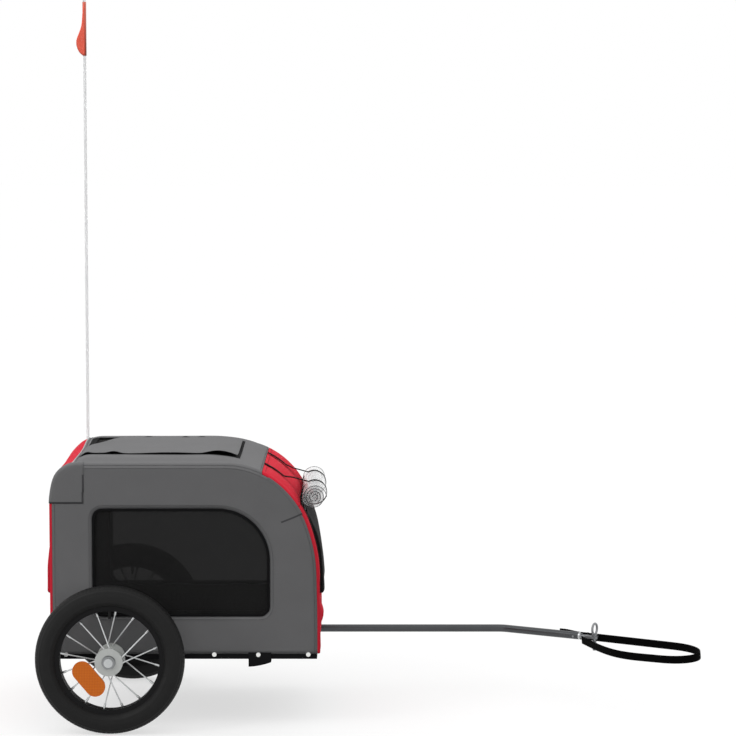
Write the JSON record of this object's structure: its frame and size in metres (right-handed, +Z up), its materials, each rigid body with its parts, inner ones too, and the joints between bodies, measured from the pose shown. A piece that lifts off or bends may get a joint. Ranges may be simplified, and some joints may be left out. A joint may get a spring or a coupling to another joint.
{
  "type": "dog bike trailer",
  "caption": "Covered pet trailer towed by a bicycle: cloth cabin on a tube frame with mesh windows, spoked wheels, a side drawbar with hitch pin and safety strap, and a tall safety flag.",
  "frame": {"origin": "on the ground below the middle of the trailer's overall length and width", "axes": "+X forwards along the drawbar, +Y to the left side seen in the direction of travel, +Z up"},
  "size_m": [1.3628, 0.6386, 1.476],
  "materials": {
    "tyre_rubber": "matt black rubber",
    "rim_black": "satin black paint",
    "spoke_steel": "bright drawn wire",
    "hub_alloy": "satin silver",
    "bearing_steel": "ground steel",
    "reflector_amber": "clear amber over prisms",
    "valve_rubber": "matt",
    "axle_steel": "zinc plated",
    "button_alloy": "satin silver",
    "frame_black": "semi-gloss black powder coat",
    "plug_plastic": "moulded black",
    "floor_black": "dark textured sheet",
    "screw_steel": "zinc plated",
    "grey_cloth": "coated woven cloth",
    "red_cloth": "coated woven cloth",
    "black_mesh": "open woven mesh",
    "clear_film": "clear flexible film",
    "webbing": "woven black webbing",
    "drawbar_grey": "dark grey powder coat",
    "hitch_steel": "zinc plated",
    "pole_white": "pale glass fibre rod",
    "flag_red": "thin bright cloth"
  },
  "bodies": {
    "trailer": {"right_axle": "axle_steel", "right_side_rail": "frame_black", "right_hoop": "frame_black", "right_drawbar_bracket": "frame_black", "right_wall": "grey_cloth", "right_window": "black_mesh", "left_axle": "axle_steel", "left_side_rail": "frame_black", "left_hoop": "frame_black", "left_drawbar_bracket": "frame_black", "left_wall": "grey_cloth", "left_window": "black_mesh", "front_cross_rail": "frame_black", "rear_cross_rail": "frame_black", "axle_tube": "frame_black", "front_top_bar": "frame_black", "rear_top_bar": "frame_black", "drawbar_guide": "frame_black", "rail_end_plugs": "plug_plastic", "bar_connectors": "plug_plastic", "hoop_spigots": "plug_plastic", "flag_socket": "plug_plastic", "floor_board": "floor_black", "rail_screws": "screw_steel", "roof_panel": "grey_cloth", "roof_mesh": "black_mesh", "front_band": "red_cloth", "front_panel": "red_cloth", "rear_panel": "red_cloth", "rain_cover_roll": "clear_film", "rain_cover_ties": "webbing"},
    "right_wheel": {"right_tyre": "tyre_rubber", "right_rim": "rim_black", "right_spokes": "spoke_steel", "right_hub": "hub_alloy", "right_bearings": "bearing_steel", "right_reflector": "reflector_amber", "right_valve": "valve_rubber"},
    "left_wheel": {"left_tyre": "tyre_rubber", "left_rim": "rim_black", "left_spokes": "spoke_steel", "left_hub": "hub_alloy", "left_bearings": "bearing_steel", "left_reflector": "reflector_amber", "left_valve": "valve_rubber"},
    "right_release": {"right_release_button": "button_alloy"},
    "left_release": {"left_release_button": "button_alloy"},
    "drawbar": {"drawbar": "drawbar_grey", "drawbar_plug": "plug_plastic", "drawbar_collar": "hub_alloy", "hitch_tongue": "hitch_steel", "safety_strap": "webbing", "strap_rivet": "hitch_steel"},
    "hitch_pin": {"hitch_pin": "hitch_steel"},
    "clamp_knob": {"clamp_knob": "plug_plastic"},
    "front_door": {"front_door": "black_mesh"},
    "rear_door": {"rear_door": "red_cloth"},
    "roof_flap": {"roof_flap": "grey_cloth"},
    "flag": {"flag_pole": "pole_white", "flag": "flag_red"}
  },
  "joints": [
    {"name": "right_wheel_spin", "type": "hinge", "parent": "trailer", "child": "right_wheel", "pos_m": [-0.53139, -0.28, 0.15], "axis": [0, 1, 0], "continuous": true},
    {"name": "left_wheel_spin", "type": "hinge", "parent": "trailer", "child": "left_wheel", "pos_m": [-0.53139, 0.28, 0.15], "axis": [0, 1, 0], "continuous": true},
    {"name": "right_release_press", "type": "slide", "parent": "trailer", "child": "right_release", "axis": [0, 1, 0], "range_m": [0, 0.003], "stiffness_N_per_m": 800, "springref_m": -0.001},
    {"name": "left_release_press", "type": "slide", "parent": "trailer", "child": "left_release", "axis": [0, -1, 0], "range_m": [0, 0.003], "stiffness_N_per_m": 800, "springref_m": -0.001},
    {"name": "drawbar_slide", "type": "slide", "parent": "trailer", "child": "drawbar", "axis": [-1, 0, 0], "range_m": [0, 0.32]},
    {"name": "hitch_pin_pull", "type": "slide", "parent": "drawbar", "child": "hitch_pin", "axis": [0, 0, 1], "range_m": [0, 0.045]},
    {"name": "clamp_knob_turn", "type": "hinge", "parent": "trailer", "child": "clamp_knob", "pos_m": [-0.24739, 0.2109, 0.1267], "axis": [0, 1, 0], "range_deg": [0, 360]},
    {"name": "front_door_open", "type": "hinge", "parent": "trailer", "child": "front_door", "pos_m": [-0.11659, 0, 0.264], "axis": [0, 1, 0], "range_deg": [0, 120]},
    {"name": "rear_door_open", "type": "hinge", "parent": "trailer", "child": "rear_door", "pos_m": [-0.65839, 0, 0.46], "axis": [0, 1, 0], "range_deg": [0, 100]},
    {"name": "roof_flap_open", "type": "hinge", "parent": "trailer", "child": "roof_flap", "pos_m": [-0.60539, 0, 0.5403], "axis": [0, -1, 0], "range_deg": [0, 150]},
    {"name": "flag_pole_lift", "type": "slide", "parent": "trailer", "child": "flag", "axis": [0, 0, 1], "range_m": [0, 0.12]}
  ]
}
